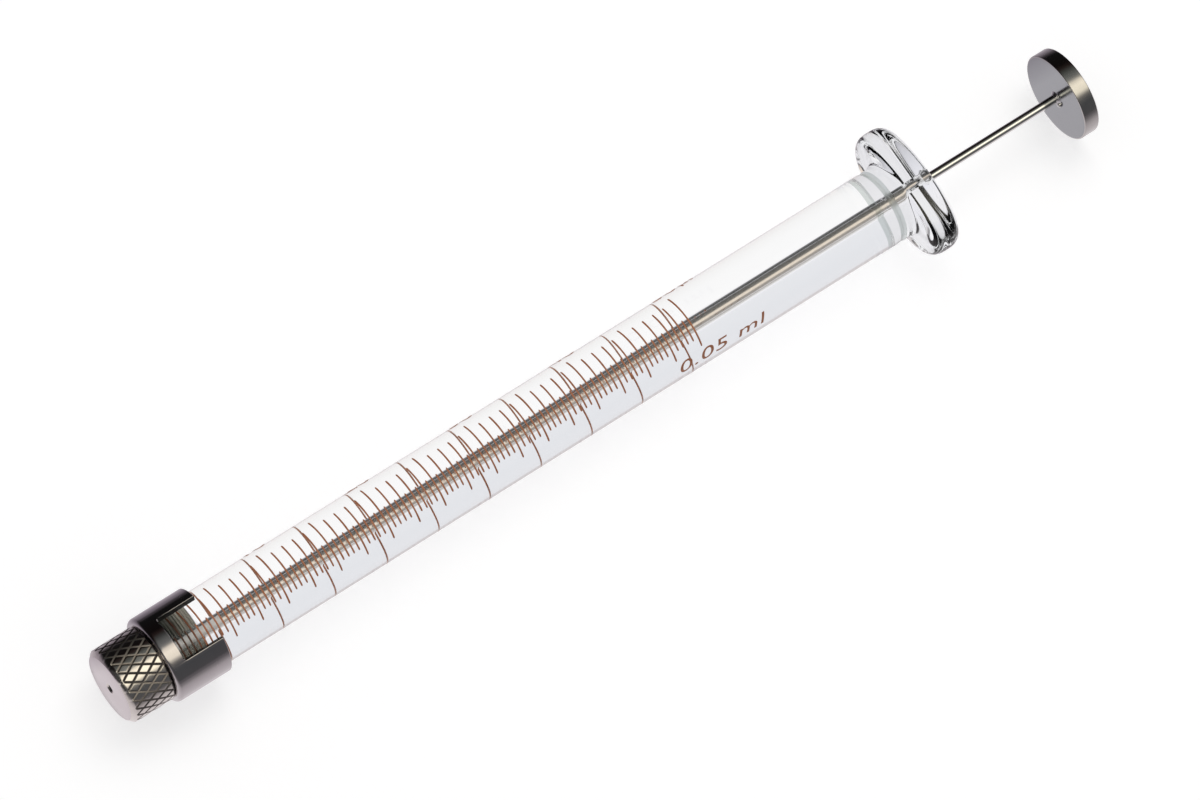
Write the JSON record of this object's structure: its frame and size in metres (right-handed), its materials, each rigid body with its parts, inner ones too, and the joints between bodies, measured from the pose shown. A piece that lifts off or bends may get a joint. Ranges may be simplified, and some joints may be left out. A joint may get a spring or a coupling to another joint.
{
  "type": "microsyringe",
  "caption": "Glass microsyringe with printed scale, finger flange, wire plunger with thumb button, and a knurled nut that clamps a removable needle.",
  "frame": {"origin": "centre of the needle hole in the front face of the nut, on the axis of the bore", "axes": "+X runs along the bore from the nut to the thumb button, +Z is the front of the scale, square to the flats of the finger flange, so the syringe lies on a table with the scale up"},
  "size_m": [0.1134, 0.0138, 0.0094],
  "materials": {
    "nut_metal": "nickel plated brass, diamond knurled, bright chamfer and satin front face",
    "collar_metal": "nickel plated, polished with fine turning lines",
    "polymer": "white fluoropolymer, waxy",
    "barrel_glass": "clear borosilicate glass, fire polished",
    "scale_ink": "fired-on brown ceramic ink",
    "wire_steel": "ground bright stainless wire",
    "button_steel": "faced matt on the flat, polished round the rim",
    "solder": "bright solder bead"
  },
  "bodies": {
    "barrel": {"glass_barrel": "barrel_glass", "hub_collar": "collar_metal", "graduation_lines": "scale_ink"},
    "plunger_slider": {"plunger_tip": "polymer"},
    "plunger": {"plunger_wire": "wire_steel", "plunger_button": "button_steel", "button_solder": "solder"},
    "seal": {"needle_seal": "polymer"},
    "nut": {"compression_nut": "nut_metal"}
  },
  "joints": [
    {"name": "plunger_slide", "type": "slide", "parent": "barrel", "child": "plunger_slider", "axis": [1, 0, 0], "range_m": [0, 0.06]},
    {"name": "plunger_turn", "type": "hinge", "parent": "plunger_slider", "child": "plunger", "pos_m": [0.1, 0, 0], "axis": [1, 0, 0], "continuous": true},
    {"name": "nut_travel", "type": "slide", "parent": "barrel", "child": "seal", "axis": [-1, 0, 0], "range_m": [0, 0.0025]},
    {"name": "nut_turn", "type": "hinge", "parent": "seal", "child": "nut", "pos_m": [0, 0, 0], "axis": [-1, 0, 0], "range_deg": [0, 1800]}
  ],
  "couplings": [
    {"joint": "nut_turn", "follows": "nut_travel", "rad_per_m": 12566}
  ]
}
